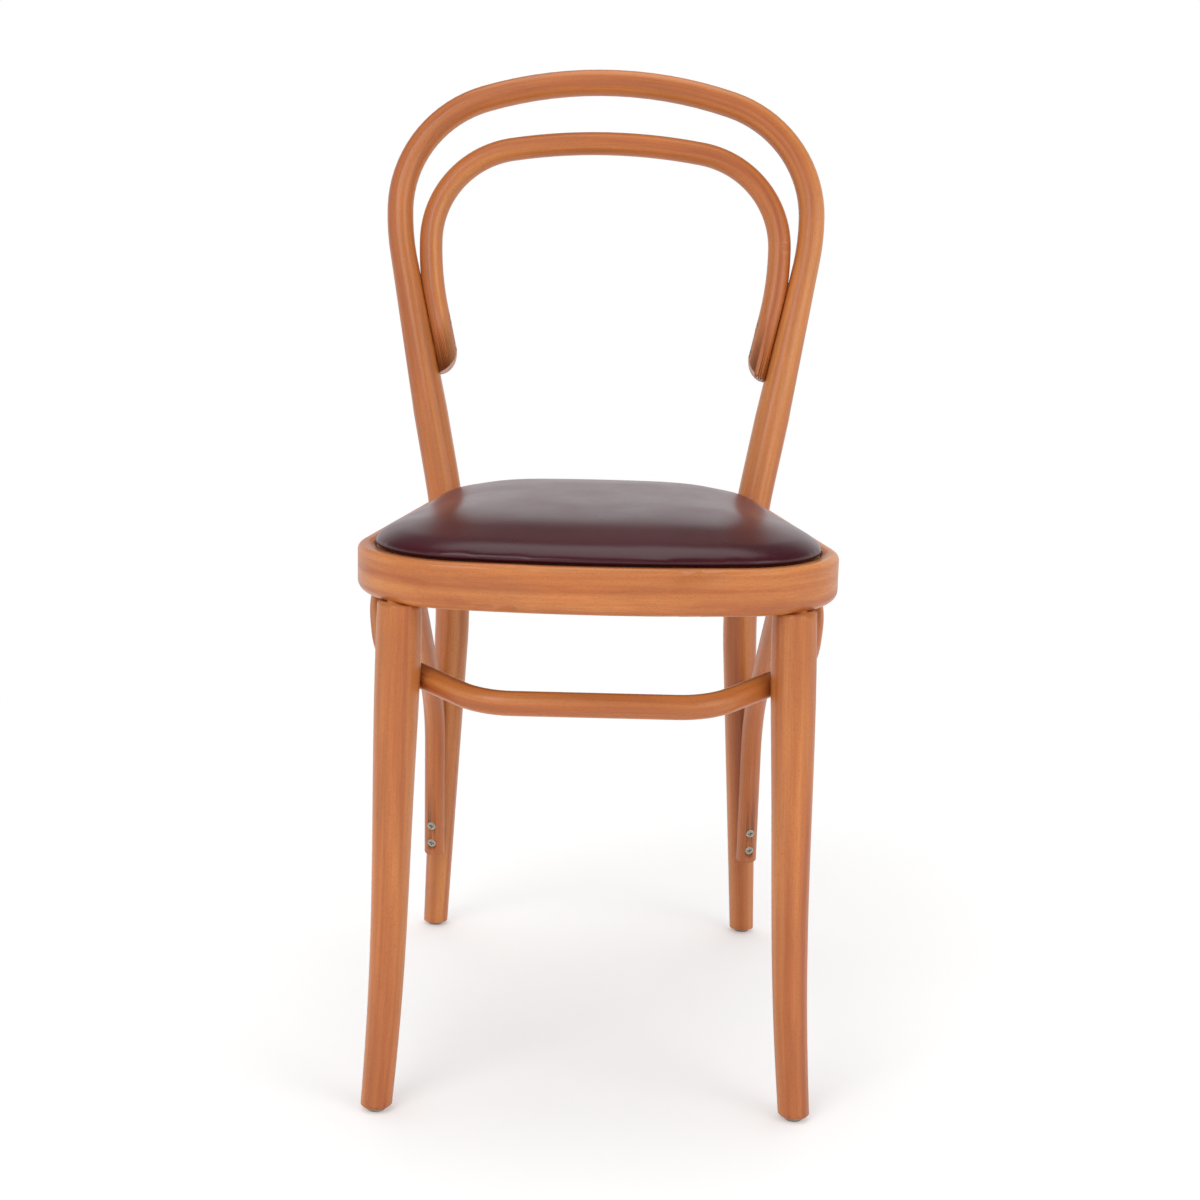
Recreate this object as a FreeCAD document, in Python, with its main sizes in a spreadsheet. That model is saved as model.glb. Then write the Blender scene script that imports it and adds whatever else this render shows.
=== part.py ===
# Bentwood bistro chair with an upholstered drop-in seat.
# Frame: X to the sitter's right as seen from the front, Y to the back, Z up,
# origin on the floor under the middle of the chair's box. All lengths are in millimetres.
import FreeCAD, Part
import math
import os
import Sketcher
from FreeCAD import Placement, Rotation, Vector

# Driving sizes: name, value, what it is
SIZES = [
    ("overall_height", 865, "floor to the top of the hoop"),
    ("overall_depth", 505, "front of the seat ring to the back of the hoop's top"),
    ("hoop_width", 423, "widest outside width of the back hoop"),
    ("hoop_dia", 25, "rod of the hoop round the top"),
    ("hoop_seat_dia", 32.5, "rod of the rear legs at the seat"),
    ("rear_foot_dia", 23.5, "rod of the rear legs at the floor"),
    ("hoop_top_radius", 390, "centreline radius of the hoop's flat crown"),
    ("hoop_corner_radius", 114.5, "centreline radius of the hoop's shoulders"),
    ("hoop_side_radius", 240, "centreline radius where the shoulders run into the sides"),
    ("hoop_thick_length", 145, "length above the knee that keeps the seat diameter"),
    ("knee_height", 401, "where the lines of rear leg and hoop side cross"),
    ("knee_setback", 375, "the same crossing, behind the seat ring's front"),
    ("knee_spread", 271.5, "the same crossing, left to right"),
    ("knee_radius", 300, "bend of the rod at the seat"),
    ("rear_foot_spread", 318, "between the rear feet's centres"),
    ("rear_foot_setback", 468, "rear feet's centres behind the seat ring's front"),
    ("loop_dia", 22, "rod of the inner loop"),
    ("loop_drop", 60, "hoop's centreline to the loop's centreline at the top"),
    ("loop_top_radius", 540, "centreline radius of the loop's crown"),
    ("loop_corner_radius", 92, "centreline radius of the loop's shoulders"),
    ("loop_side_radius", 300, "centreline radius below the loop's shoulders"),
    ("loop_end_rise", 180, "lowest tip of the loop above the knee, along the back"),
    ("loop_bedding", 2, "depth of the flat on the loop's flanks, where they lie on the hoop"),
    ("ring_top", 462, "top face of the seat ring above the floor"),
    ("ring_height", 38.5, "height of the seat ring"),
    ("ring_width", 396, "widest outside width of the seat ring"),
    ("ring_thickness", 26, "radial thickness of the seat ring"),
    ("ring_front_corner", 98, "outside radius of the ring's front corners"),
    ("ring_rear_corner", 92, "outside radius of the ring's rear corners"),
    ("ring_front_bow", 700, "outside radius of the ring's front"),
    ("ring_rear_bow", 500, "outside radius of the ring's back"),
    ("ring_top_round", 5, "rounding of the ring's top outer edge"),
    ("ring_bottom_round", 9, "rounding of the ring's bottom outer edge"),
    ("rim_width", 14, "rim of the ring that shows round the cushion"),
    ("rebate_depth", 14, "depth of the step that the seat pad drops into"),
    ("pad_forward", 3, "how far the seat pad sits forward in the ring"),
    ("notch_depth", 3, "depth of the flat in each rear leg where the ring is bolted"),
    ("bolt_turn", 45, "direction of the hoop bolts from the side, in degrees"),
    ("bolt_rise", 12, "hoop bolts above the ring's underside"),
    ("bolt_dia", 6, "shank of the hoop bolts"),
    ("bolt_head_dia", 15, "domed head of the hoop bolts"),
    ("bolt_head_height", 3.5, "height of the domed head"),
    ("bolt_tail", 10, "bolt end that stands clear inside the ring"),
    ("washer_dia", 18, "washers inside the ring"),
    ("washer_thickness", 1.5, "thickness of the washers"),
    ("nut_flats", 10, "hexagon nuts across their flats"),
    ("nut_height", 5, "height of the hexagon nuts"),
    ("front_leg_turn", 43, "place of the front legs round the ring's front corners, in degrees"),
    ("leg_dia", 35.5, "front legs from the ring down to the taper"),
    ("leg_taper_height", 320, "height where the front legs begin to taper"),
    ("leg_flare_height", 180, "height where the front legs begin to sweep out"),
    ("leg_flare_dia", 30.5, "front legs at that height"),
    ("front_foot_dia", 26, "front legs at the floor"),
    ("leg_lean_out", 9.7, "outward lean of the straight leg, ring to floor"),
    ("leg_lean_forward", 15.7, "forward lean of the straight leg, ring to floor"),
    ("leg_flare_out", 5.3, "extra sweep outward at the foot"),
    ("leg_flare_forward", 7.3, "extra sweep forward at the foot"),
    ("foot_bevel", 1.5, "bevel round each foot"),
    ("tenon_dia", 20, "round tenons on the front legs"),
    ("tenon_length", 20, "height of the tenons inside the ring"),
    ("brace_dia", 20, "rod of the bent leg brace"),
    ("brace_front_height", 350.7, "height of the brace between the front legs"),
    ("brace_front_setback", 10, "centreline of the brace's front bar behind the ring's front"),
    ("brace_front_bend", 60, "bend radius beside the front bar"),
    ("brace_climb_bend", 52, "bend radius behind the front legs"),
    ("brace_crown_bend", 45, "front bend radius under the ring"),
    ("brace_back_bend", 100, "rear bend radius under the ring"),
    ("brace_tail_bend", 150, "bend radius where the brace meets the rear leg"),
    ("brace_turn", 45, "direction of the brace past the front legs, in degrees"),
    ("brace_climb", 6.5, "rise of the brace past the front legs, in degrees"),
    ("brace_pass_run", 46, "corner where the brace turns up, past the front leg's middle"),
    ("brace_inset", 13.5, "brace's centreline inside the ring's outside, under the ring"),
    ("brace_bedding", 1, "depth that the brace is hollowed to fit legs and ring"),
    ("brace_climb_run", 33, "front upper corner of the brace behind the corner where it turns up"),
    ("brace_back_setback", 222.5, "rear upper corner of the brace behind the ring's front"),
    ("brace_knee_height", 250, "height where the brace reaches the rear leg"),
    ("brace_end_height", 92, "lower end of the brace on the rear leg"),
    ("brace_knee_turn", 26, "side of the rear leg that the brace lies on there, in degrees"),
    ("brace_end_turn", 10, "the same at the lower end"),
    ("screw_dia", 4, "shank of the wood screws"),
    ("screw_head_dia", 8.4, "heads of the wood screws"),
    ("screw_head_land", 0.8, "straight edge of the screw heads"),
    ("screw_tip", 4, "length of the screw points"),
    ("recess_width", 1.3, "arms of the cross recess"),
    ("recess_span", 4.8, "cross recess from arm to arm"),
    ("recess_depth", 1.6, "depth of the cross recess"),
    ("brace_screw_length", 34, "screws from the brace into a leg or the ring"),
    ("loop_screw_length", 34, "screws from the loop into the hoop"),
    ("seat_screw_length", 31, "screws from the ring into the seat board"),
    ("rear_screw_low", 106, "lower visible screw above the floor"),
    ("rear_screw_pitch", 19, "between the two visible screws, up the leg"),
    ("loop_screw_rise", 22, "lower loop screw above the loop's tip"),
    ("loop_screw_pitch", 26, "between the two loop screws"),
    ("seat_screw_front", 110, "between the two front seat screws"),
    ("seat_screw_rear", 80, "between the two rear seat screws"),
    ("board_thickness", 10, "plywood seat board"),
    ("cover_thickness", 1.2, "leatherette cover"),
    ("pad_clearance", 0.3, "running gap round the seat pad"),
    ("hem_width", 33, "cover turned in under the board"),
    ("cushion_crown", 36, "top of the cushion above the ring"),
    ("cushion_fall", 10, "edge of the cushion's top below its crown"),
    ("cushion_slope", 60, "width of the slope from crown to edge"),
    ("cushion_roll", 15, "radius of the cushion's upper edge"),
    ("cushion_tuck", 6, "radius where the cushion's side turns in above the ring"),
    ("cushion_swell", 2.8, "how far the cushion bulges over the rim"),
    ("dust_inset", 34, "edge of the dust cover inside the ring's outside"),
    ("dust_thickness", 0.6, "black cloth under the seat board"),
    ("staple_inset", 39, "row of staples inside the ring's outside"),
    ("staple_count", 24, "staples round the seat board"),
    ("staple_span", 10, "width of a staple"),
    ("staple_wire", 1, "thickness of the staple wire"),
    ("staple_leg", 7, "length of the staple's legs"),
    ("glide_height", 4, "thickness of the glides under the feet"),
    ("glide_dia", 16, "width of the glides"),
    ("glide_bevel", 1.2, "bevel of the glides"),
    ("nail_dia", 2.4, "nails of the glides"),
    ("nail_length", 18, "length of the glides' nails"),
]

doc = FreeCAD.newDocument("bistro_chair")
sheet = doc.addObject("Spreadsheet::Sheet", "sizes")
for row, (name, value, note) in enumerate(SIZES, start=1):
    sheet.set("A%d" % row, name)
    sheet.set("B%d" % row, str(value))
    sheet.set("C%d" % row, note)
    sheet.setAlias("B%d" % row, name)
doc.recompute()


def size(name):
    return float(sheet.get(name))


# Places that several pieces share
FRONT = -size("overall_depth") / 2
RING_TOP = size("ring_top")
RING_BOTTOM = RING_TOP - size("ring_height")
LEDGE = RING_TOP - size("rebate_depth")
GLIDE = size("glide_height")
UP = Vector(0, 0, 1)
LEFT, RIGHT = -1, 1
SIDES = (("left", LEFT), ("right", RIGHT))
OVERRUN = 30.0
HAIR = 0.1


def unit(vector):
    return vector * (1 / vector.Length)


def mirrored(shape):
    return shape.mirror(Vector(0, 0, 0), Vector(1, 0, 0))


def for_side(shape, side):
    return shape if side == RIGHT else mirrored(shape)


def flipped(point, side):
    return Vector(point.x * side, point.y, point.z)


# Rods bent from straight runs and tangent arcs

def run(start, end, start_radius, end_radius):
    along = end - start
    if abs(start_radius - end_radius) < 1e-6:
        return Part.makeCylinder(start_radius, along.Length, start, along)
    return Part.makeCone(start_radius, end_radius, along.Length, start, along)


def bend(start, centre, end, heading, radius):
    spoke = start - centre
    axis = unit(spoke.cross(heading))
    turn = math.degrees(spoke.getAngle(end - centre))
    disc = Part.Face(Part.Wire(Part.makeCircle(radius, start, heading)))
    return disc.revolve(centre, axis, turn)


def corner(before, vertex, after, radius):
    """Start, centre and end of the arc that rounds a corner of a path."""
    back = unit(before - vertex)
    ahead = unit(after - vertex)
    half = back.getAngle(ahead) / 2
    reach = radius / math.tan(half)
    centre = vertex + unit(back + ahead) * (radius / math.sin(half))
    return vertex + back * reach, centre, vertex + ahead * reach


def rounded_rod(points, bends, radii):
    """A rod along points; bends and radii hold one value for each inner point, and for all points."""
    pieces = []
    here = points[0]
    for index in range(1, len(points) - 1):
        start, centre, end = corner(points[index - 1], points[index], points[index + 1], bends[index - 1])
        pieces.append(run(here, start, radii[index - 1], radii[index]))
        pieces.append(bend(start, centre, end, points[index] - points[index - 1], radii[index]))
        here = end
    pieces.append(run(here, points[-1], radii[-2], radii[-1]))
    return pieces


def joined(pieces):
    return pieces[0].fuse(pieces[1:]).removeSplitter()


# The back: a hoop whose ends run down as the rear legs, bent at the knees

FOOT = Vector(size("rear_foot_spread") / 2, FRONT + size("rear_foot_setback"), 0)
KNEE = Vector(size("knee_spread") / 2, FRONT + size("knee_setback"), size("knee_height"))
HOOP_R = size("hoop_dia") / 2
SEAT_R = size("hoop_seat_dia") / 2
LOOP_R = size("loop_dia") / 2
TOP_Y = size("overall_depth") / 2 - HOOP_R
TOP_Z = size("overall_height") - HOOP_R
LEAN = math.atan2(TOP_Y - KNEE.y, TOP_Z - KNEE.z)
TOP_RISE = math.hypot(TOP_Y - KNEE.y, TOP_Z - KNEE.z)
BACK_NORMAL = Vector(0, math.cos(LEAN), -math.sin(LEAN))


def on_back(x, rise):
    """A point in the plane of the back: across, and up from the knee's height."""
    return Vector(x, KNEE.y + rise * math.sin(LEAN), KNEE.z + rise * math.cos(LEAN))


# The hoop's side: a straight run from the knee, tangent to the side arc
SHOULDER_X = size("hoop_width") / 2 - HOOP_R
CORNER_X = SHOULDER_X - size("hoop_corner_radius")
CROWN_RISE = TOP_RISE - size("hoop_top_radius")
CROWN_SPREAD = size("hoop_top_radius") - size("hoop_corner_radius")
CORNER_RISE = CROWN_RISE + math.sqrt(CROWN_SPREAD ** 2 - CORNER_X ** 2)
SIDE_X = SHOULDER_X - size("hoop_side_radius")
SIDE_REACH = math.hypot(KNEE.x - SIDE_X, CORNER_RISE)
SIDE_SLOPE = math.atan2(CORNER_RISE, KNEE.x - SIDE_X) - math.acos(size("hoop_side_radius") / SIDE_REACH)
SIDE_END_X = SIDE_X + size("hoop_side_radius") * math.cos(SIDE_SLOPE)
SIDE_END_RISE = CORNER_RISE - size("hoop_side_radius") * math.sin(SIDE_SLOPE)
THICK_X = KNEE.x + size("hoop_thick_length") * math.sin(SIDE_SLOPE)
THICK_RISE = size("hoop_thick_length") * math.cos(SIDE_SLOPE)
KNEE_ARC = corner(FOOT, KNEE, on_back(SIDE_END_X, SIDE_END_RISE), size("knee_radius"))


def leg_axis(height):
    """Centre of the right rear leg at a height, between foot and knee."""
    start, centre, end = KNEE_ARC
    if height <= start.z:
        return FOOT + (start - FOOT) * ((height - FOOT.z) / (start.z - FOOT.z))
    low, high = 0.0, 1.0
    for _ in range(40):
        middle = (low + high) / 2
        point = centre + unit(start + (end - start) * middle - centre) * size("knee_radius")
        if point.z < height:
            low = middle
        else:
            high = middle
    return point


def crown_turn(corner_x, top_radius, corner_radius):
    return math.asin(corner_x / (top_radius - corner_radius))


def crown_point(top_radius, crown_rise, turn):
    return on_back(top_radius * math.sin(turn), crown_rise + top_radius * math.cos(turn))


def hoop_half():
    knee_start, knee_centre, knee_end = KNEE_ARC
    toes = FOOT - unit(knee_start - FOOT) * OVERRUN
    side_end = on_back(SIDE_END_X, SIDE_END_RISE)
    shoulder = on_back(SHOULDER_X, CORNER_RISE)
    turn = crown_turn(CORNER_X, size("hoop_top_radius"), size("hoop_corner_radius"))
    crown_end = crown_point(size("hoop_top_radius"), CROWN_RISE, turn)
    thick_end = on_back(THICK_X, THICK_RISE)
    upward = unit(side_end - knee_end)
    back_up = on_back(0, 1) - on_back(0, 0)
    return [
        run(toes, knee_start, size("rear_foot_dia") / 2, SEAT_R),
        bend(knee_start, knee_centre, knee_end, knee_start - FOOT, SEAT_R),
        run(knee_end, thick_end, SEAT_R, SEAT_R),
        run(thick_end, side_end, SEAT_R, HOOP_R),
        bend(side_end, on_back(SIDE_X, CORNER_RISE), shoulder, upward, HOOP_R),
        bend(shoulder, on_back(CORNER_X, CORNER_RISE), crown_end, back_up, HOOP_R),
    ]


def crown(corner_x, crown_rise, top_radius, corner_radius, rod_radius):
    turn = crown_turn(corner_x, top_radius, corner_radius)
    start = crown_point(top_radius, crown_rise, turn)
    end = flipped(start, LEFT)
    heading = on_back(-math.cos(turn), math.sin(turn)) - on_back(0, 0)
    return bend(start, on_back(0, crown_rise), end, heading, rod_radius)


def back_hoop_blank():
    half = hoop_half()
    top = crown(CORNER_X, CROWN_RISE, size("hoop_top_radius"), size("hoop_corner_radius"), HOOP_R)
    rod = joined(half + [top] + [mirrored(piece) for piece in half])
    reach = size("overall_height")
    below = GLIDE - 2 * OVERRUN
    ground = Part.makeBox(2 * reach, 2 * reach, 2 * OVERRUN, Vector(-reach, -reach, below))
    return rod.cut(ground)


# The inner loop follows the tapered inner face of the hoop's sides
SIDE_INWARD = Vector(-math.cos(SIDE_SLOPE), math.sin(SIDE_SLOPE), 0)
FACE_LOW = Vector(THICK_X, THICK_RISE, 0) + SIDE_INWARD * SEAT_R
FACE_HIGH = Vector(SIDE_END_X, SIDE_END_RISE, 0) + SIDE_INWARD * HOOP_R
FACE_RUN = unit(FACE_HIGH - FACE_LOW)
FACE_INWARD = Vector(-FACE_RUN.y, FACE_RUN.x, 0)
FLANK = FACE_LOW + FACE_INWARD * (LOOP_R - size("loop_bedding"))
FLANK_SLOPE = math.atan2(FACE_RUN.x, FACE_RUN.y)
LOOP_TOP_RISE = TOP_RISE - size("loop_drop")


def loop_shoulder():
    """Half width and height of the loop's shoulder that make its flank meet the hoop."""
    sine, cosine = math.sin(FLANK_SLOPE), math.cos(FLANK_SLOPE)
    half = SHOULDER_X - HOOP_R - LOOP_R
    for _ in range(60):
        across = half - size("loop_corner_radius")
        spread = size("loop_top_radius") - size("loop_corner_radius")
        rise = LOOP_TOP_RISE - size("loop_top_radius") + math.sqrt(spread ** 2 - across ** 2)
        sag = size("loop_side_radius") * (1 - cosine)
        half = FLANK.x + ((rise - FLANK.y) * sine - sag) / cosine
    return half, rise


LOOP_HALF, LOOP_RISE = loop_shoulder()
LOOP_SIDE_X = LOOP_HALF - size("loop_side_radius")


def flank_point(rise):
    """Centreline of the loop's right flank at a height in the back's plane, as across and rise."""
    return Vector(FLANK.x + (rise - FLANK.y) * math.tan(FLANK_SLOPE), rise, 0)


def back_loop_blank():
    corner_x = LOOP_HALF - size("loop_corner_radius")
    crown_rise = LOOP_TOP_RISE - size("loop_top_radius")
    turn = crown_turn(corner_x, size("loop_top_radius"), size("loop_corner_radius"))
    crown_end = crown_point(size("loop_top_radius"), crown_rise, turn)
    shoulder = on_back(LOOP_HALF, LOOP_RISE)
    flank_top_x = LOOP_SIDE_X + size("loop_side_radius") * math.cos(FLANK_SLOPE)
    flank_top_rise = LOOP_RISE - size("loop_side_radius") * math.sin(FLANK_SLOPE)
    flank_top = on_back(flank_top_x, flank_top_rise)
    low = flank_point(size("loop_end_rise") - LOOP_R)
    flank_low = on_back(low.x, low.y)
    back_up = on_back(0, 1) - on_back(0, 0)
    half = [
        run(flank_low, flank_top, LOOP_R, LOOP_R),
        bend(flank_top, on_back(LOOP_SIDE_X, LOOP_RISE), shoulder, flank_top - flank_low, LOOP_R),
        bend(shoulder, on_back(corner_x, LOOP_RISE), crown_end, back_up, LOOP_R),
    ]
    top = crown(corner_x, crown_rise, size("loop_top_radius"), size("loop_corner_radius"), LOOP_R)
    rod = joined(half + [top] + [mirrored(piece) for piece in half])
    for _, side in SIDES:
        rod = rod.cut(for_side(loop_flat_waste(), side))
        rod = rod.cut(for_side(loop_end_waste(), side))
    return rod


def back_prism(outline):
    """A block right through the back, over an outline given as across and rise."""
    through = BACK_NORMAL * (3 * LOOP_R)
    corners = [on_back(point.x, point.y) - through for point in outline]
    return Part.Face(Part.makePolygon(corners + corners[:1])).extrude(through * 2)


def loop_flat_waste():
    """What is planed off a flank so that it lies flat on the hoop's tapered side."""
    low = FACE_LOW - FACE_RUN * OVERRUN
    high = FACE_HIGH + FACE_RUN * OVERRUN
    outward = FACE_INWARD * (-2 * LOOP_R)
    return back_prism([low, high, high + outward, low + outward])


def loop_end_waste():
    """What is sawn off a flank's end: it leaves a quarter round with its tip against the hoop."""
    tip = flank_point(size("loop_end_rise")) - FACE_INWARD * LOOP_R
    hub = tip + FACE_RUN * (2 * LOOP_R)
    across = FACE_INWARD * (3 * LOOP_R)
    down = FACE_RUN * (-4 * LOOP_R)
    block = back_prism([hub - across, hub + across, hub + across + down, hub - across + down])
    start = on_back(hub.x, hub.y) - BACK_NORMAL * (3 * LOOP_R)
    return block.cut(Part.makeCylinder(2 * LOOP_R, 6 * LOOP_R, start, BACK_NORMAL))


# Outline of the seat ring: four corner circles, straight sides, a bowed front and back
BOLT_HEIGHT = RING_BOTTOM + size("bolt_rise")
BOLT_WAY = Vector(math.cos(math.radians(size("bolt_turn"))), math.sin(math.radians(size("bolt_turn"))), 0)
RING_MIDDLE = (RING_TOP + RING_BOTTOM) / 2
FRONT_CORNER_X = size("ring_width") / 2 - size("ring_front_corner")
FRONT_CORNER_Y = FRONT + size("ring_front_bow") - math.sqrt(
    (size("ring_front_bow") - size("ring_front_corner")) ** 2 - FRONT_CORNER_X ** 2)
REAR_CORNER = leg_axis(RING_MIDDLE) - BOLT_WAY * (SEAT_R - size("notch_depth") + size("ring_rear_corner"))
REAR_BOW_Y = REAR_CORNER.y - math.sqrt(
    (size("ring_rear_bow") - size("ring_rear_corner")) ** 2 - REAR_CORNER.x ** 2)


def arc_between(centre, radius, start, end):
    middle = centre + unit((start - centre) + (end - centre)) * radius
    return Part.Arc(start, middle, end)


def outline_parts(inset, forward=0.0):
    """The ring's outline, moved in by inset, as eight tangent arcs and lines in the XY plane."""
    front_r = size("ring_front_corner") - inset
    rear_r = size("ring_rear_corner") - inset
    front_bow = size("ring_front_bow") - inset
    rear_bow = size("ring_rear_bow") - inset
    front_c = Vector(FRONT_CORNER_X, FRONT_CORNER_Y, 0)
    rear_c = Vector(REAR_CORNER.x, REAR_CORNER.y, 0)
    front_bow_c = Vector(0, FRONT + size("ring_front_bow"), 0)
    rear_bow_c = Vector(0, REAR_BOW_Y, 0)
    between = rear_c - front_c
    turn = math.atan2(between.y, between.x) - math.acos((front_r - rear_r) / between.Length)
    out = Vector(math.cos(turn), math.sin(turn), 0)
    front_touch = front_bow_c + unit(front_c - front_bow_c) * front_bow
    side_front = front_c + out * front_r
    side_rear = rear_c + out * rear_r
    rear_touch = rear_bow_c + unit(rear_c - rear_bow_c) * rear_bow
    front_middle = front_bow_c - Vector(0, front_bow, 0)
    rear_middle = rear_bow_c + Vector(0, rear_bow, 0)

    def placed(point, side=RIGHT):
        return Vector(point.x * side, point.y - forward, 0)

    def corner_arc(centre, radius, start, end, side):
        return arc_between(placed(centre, side), radius, placed(start, side), placed(end, side))

    return [
        Part.Arc(placed(front_touch, LEFT), placed(front_middle), placed(front_touch)),
        corner_arc(front_c, front_r, front_touch, side_front, RIGHT),
        Part.LineSegment(placed(side_front), placed(side_rear)),
        corner_arc(rear_c, rear_r, side_rear, rear_touch, RIGHT),
        Part.Arc(placed(rear_touch), placed(rear_middle), placed(rear_touch, LEFT)),
        corner_arc(rear_c, rear_r, rear_touch, side_rear, LEFT),
        Part.LineSegment(placed(side_rear, LEFT), placed(side_front, LEFT)),
        corner_arc(front_c, front_r, side_front, front_touch, LEFT),
    ]


def outline_wire(inset, height, forward=0.0):
    wire = Part.Wire([part.toShape() for part in outline_parts(inset, forward)])
    wire.translate(Vector(0, 0, height))
    return wire


# Document helpers

def origin_plane(body, role):
    for feature in body.Origin.OriginFeatures:
        if feature.Role == role:
            return feature
    raise ValueError("no plane " + role)


def new_sketch(body, name, height=0.0):
    sketch = body.newObject("Sketcher::SketchObject", name)
    sketch.AttachmentSupport = [(origin_plane(body, "XY_Plane"), "")]
    sketch.MapMode = "FlatFace"
    sketch.AttachmentOffset = Placement(Vector(0, 0, height), Rotation())
    return sketch


def circle_sketch(body, name, height, centre, radius_rule):
    sketch = new_sketch(body, name, height)
    index = sketch.addGeometry(Part.Circle(Vector(centre.x, centre.y, 0), UP, 10), False)
    sketch.addConstraint(Sketcher.Constraint("Radius", index, 10))
    sketch.setExpression("Constraints[0]", radius_rule)
    return sketch


def outline_sketch(body, name, height, inset, forward=0.0):
    sketch = new_sketch(body, name, height)
    for part in outline_parts(inset, forward):
        sketch.addGeometry(part, False)
    return sketch


def is_level(edge, height):
    return abs(edge.BoundBox.ZMin - height) < HAIR and abs(edge.BoundBox.ZMax - height) < HAIR


def edges_at(shape, height):
    """Names of the edges that lie level at a height."""
    return ["Edge%d" % index for index, edge in enumerate(shape.Edges, start=1) if is_level(edge, height)]


def feature(name, shape):
    item = doc.addObject("Part::Feature", name)
    item.Shape = shape
    return item


def primitive(kind, name, height=0.0, **rules):
    item = doc.addObject("Part::" + kind, name)
    for prop, rule in rules.items():
        item.setExpression(prop, rule)
    item.Placement = Placement(Vector(0, 0, height), Rotation())
    return item


def fused(name, items):
    item = doc.addObject("Part::MultiFuse", name)
    item.Shapes = items
    doc.recompute()
    return item


def cut(name, base, tool):
    item = doc.addObject("Part::Cut", name)
    item.Base = base
    item.Tool = tool
    doc.recompute()
    return item


NODES = []


def node(label, item):
    item.Label = label
    NODES.append(item)
    return item


def cut_by(label, blank, tools):
    item = blank
    for index, tool in enumerate(tools):
        item = cut("%s_cut%d" % (label, index), item, tool)
    return node(label, item)


def aimed(shape, point, way):
    """A copy of a shape made along +Z, moved to a point and turned to face a way."""
    copy = shape.copy()
    copy.Placement = Placement(point, Rotation(UP, way))
    return copy


def both_sides(shapes):
    return Part.makeCompound([for_side(shape, side) for _, side in SIDES for shape in shapes])


# Fasteners, each made with its head at the origin and its point up +Z

def wood_screw(name, length_rule):
    land = primitive("Cylinder", name + "_land", Radius="sizes.screw_head_dia / 2",
                     Height="sizes.screw_head_land")
    cone_top = size("screw_head_land")
    cone = primitive("Cone", name + "_cone", cone_top, Radius1="sizes.screw_head_dia / 2",
                     Radius2="sizes.screw_dia / 2", Height="(sizes.screw_head_dia - sizes.screw_dia) / 2")
    shank = primitive("Cylinder", name + "_shank", cone_top, Radius="sizes.screw_dia / 2",
                      Height=length_rule + " - sizes.screw_head_land - sizes.screw_tip")
    doc.recompute()
    tip = primitive("Cone", name + "_tip", cone_top + shank.Height.Value, Radius1="sizes.screw_dia / 2",
                    Radius2="sizes.screw_dia / 20", Height="sizes.screw_tip")
    blank = fused(name + "_blank", [land, cone, shank, tip])
    arms = []
    for label, across, along in (("x", "sizes.recess_span", "sizes.recess_width"),
                                 ("y", "sizes.recess_width", "sizes.recess_span")):
        arm = primitive("Box", name + "_arm_" + label, Length=across, Width=along,
                        Height="sizes.recess_depth")
        doc.recompute()
        arm.Placement = Placement(Vector(-arm.Length.Value / 2, -arm.Width.Value / 2, 0), Rotation())
        arms.append(arm)
    cross = fused(name + "_cross", arms)
    return blank, cut(name, blank, cross)


brace_screw_blank, brace_screw = wood_screw("brace_screw", "sizes.brace_screw_length")
loop_screw_blank, loop_screw = wood_screw("loop_screw", "sizes.loop_screw_length")
seat_screw_blank, seat_screw = wood_screw("seat_screw", "sizes.seat_screw_length")


def fasten(label, drives, blank, finished):
    """Places a screw for each drive on both sides; returns the node and the holes that it needs."""
    holes = feature(label + "_holes", both_sides([aimed(blank.Shape, point, way) for point, way in drives]))
    screws = both_sides([aimed(finished.Shape, point, way) for point, way in drives])
    node(label, feature(label, screws))
    return holes


# Seat ring: a bent ring, rounded outside, bored and stepped inside

def seat_ring_blank():
    body = doc.addObject("PartDesign::Body", "ring_body")
    pad = body.newObject("PartDesign::Pad", "ring_pad")
    pad.Profile = outline_sketch(body, "ring_outline", RING_BOTTOM, 0.0)
    pad.setExpression("Length", "sizes.ring_height")
    doc.recompute()
    top_round = body.newObject("PartDesign::Fillet", "ring_top_rounding")
    top_round.Base = (pad, edges_at(pad.Shape, RING_TOP))
    top_round.setExpression("Radius", "sizes.ring_top_round")
    doc.recompute()
    bottom_round = body.newObject("PartDesign::Fillet", "ring_bottom_rounding")
    bottom_round.Base = (top_round, edges_at(top_round.Shape, RING_BOTTOM))
    bottom_round.setExpression("Radius", "sizes.ring_bottom_round")
    doc.recompute()
    solid = body.Shape.Volume
    bore = body.newObject("PartDesign::Pocket", "ring_bore")
    bore.Profile = outline_sketch(body, "bore_outline", RING_TOP, size("ring_thickness"))
    bore.Type = 1
    rebate = body.newObject("PartDesign::Pocket", "ring_rebate")
    rebate.Profile = outline_sketch(body, "rebate_outline", RING_TOP, size("rim_width"), size("pad_forward"))
    rebate.setExpression("Length", "sizes.rebate_depth")
    doc.recompute()
    if body.Shape.Volume > solid * 0.5:
        raise ValueError("the ring was not bored")
    return body


ring_blank = seat_ring_blank()
hoop_blank = feature("hoop_blank", back_hoop_blank())
loop_blank = feature("loop_blank", back_loop_blank())


# Front legs: lofted round sections with a tenon on top
LEG_TURN = math.radians(size("front_leg_turn"))
LEG_ROUND = size("ring_front_corner") - size("ring_thickness") / 2
LEG_WAY = Vector(math.sin(LEG_TURN), -math.cos(LEG_TURN), 0)
LEG_TOP = Vector(FRONT_CORNER_X, FRONT_CORNER_Y, 0) + LEG_WAY * LEG_ROUND


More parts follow.
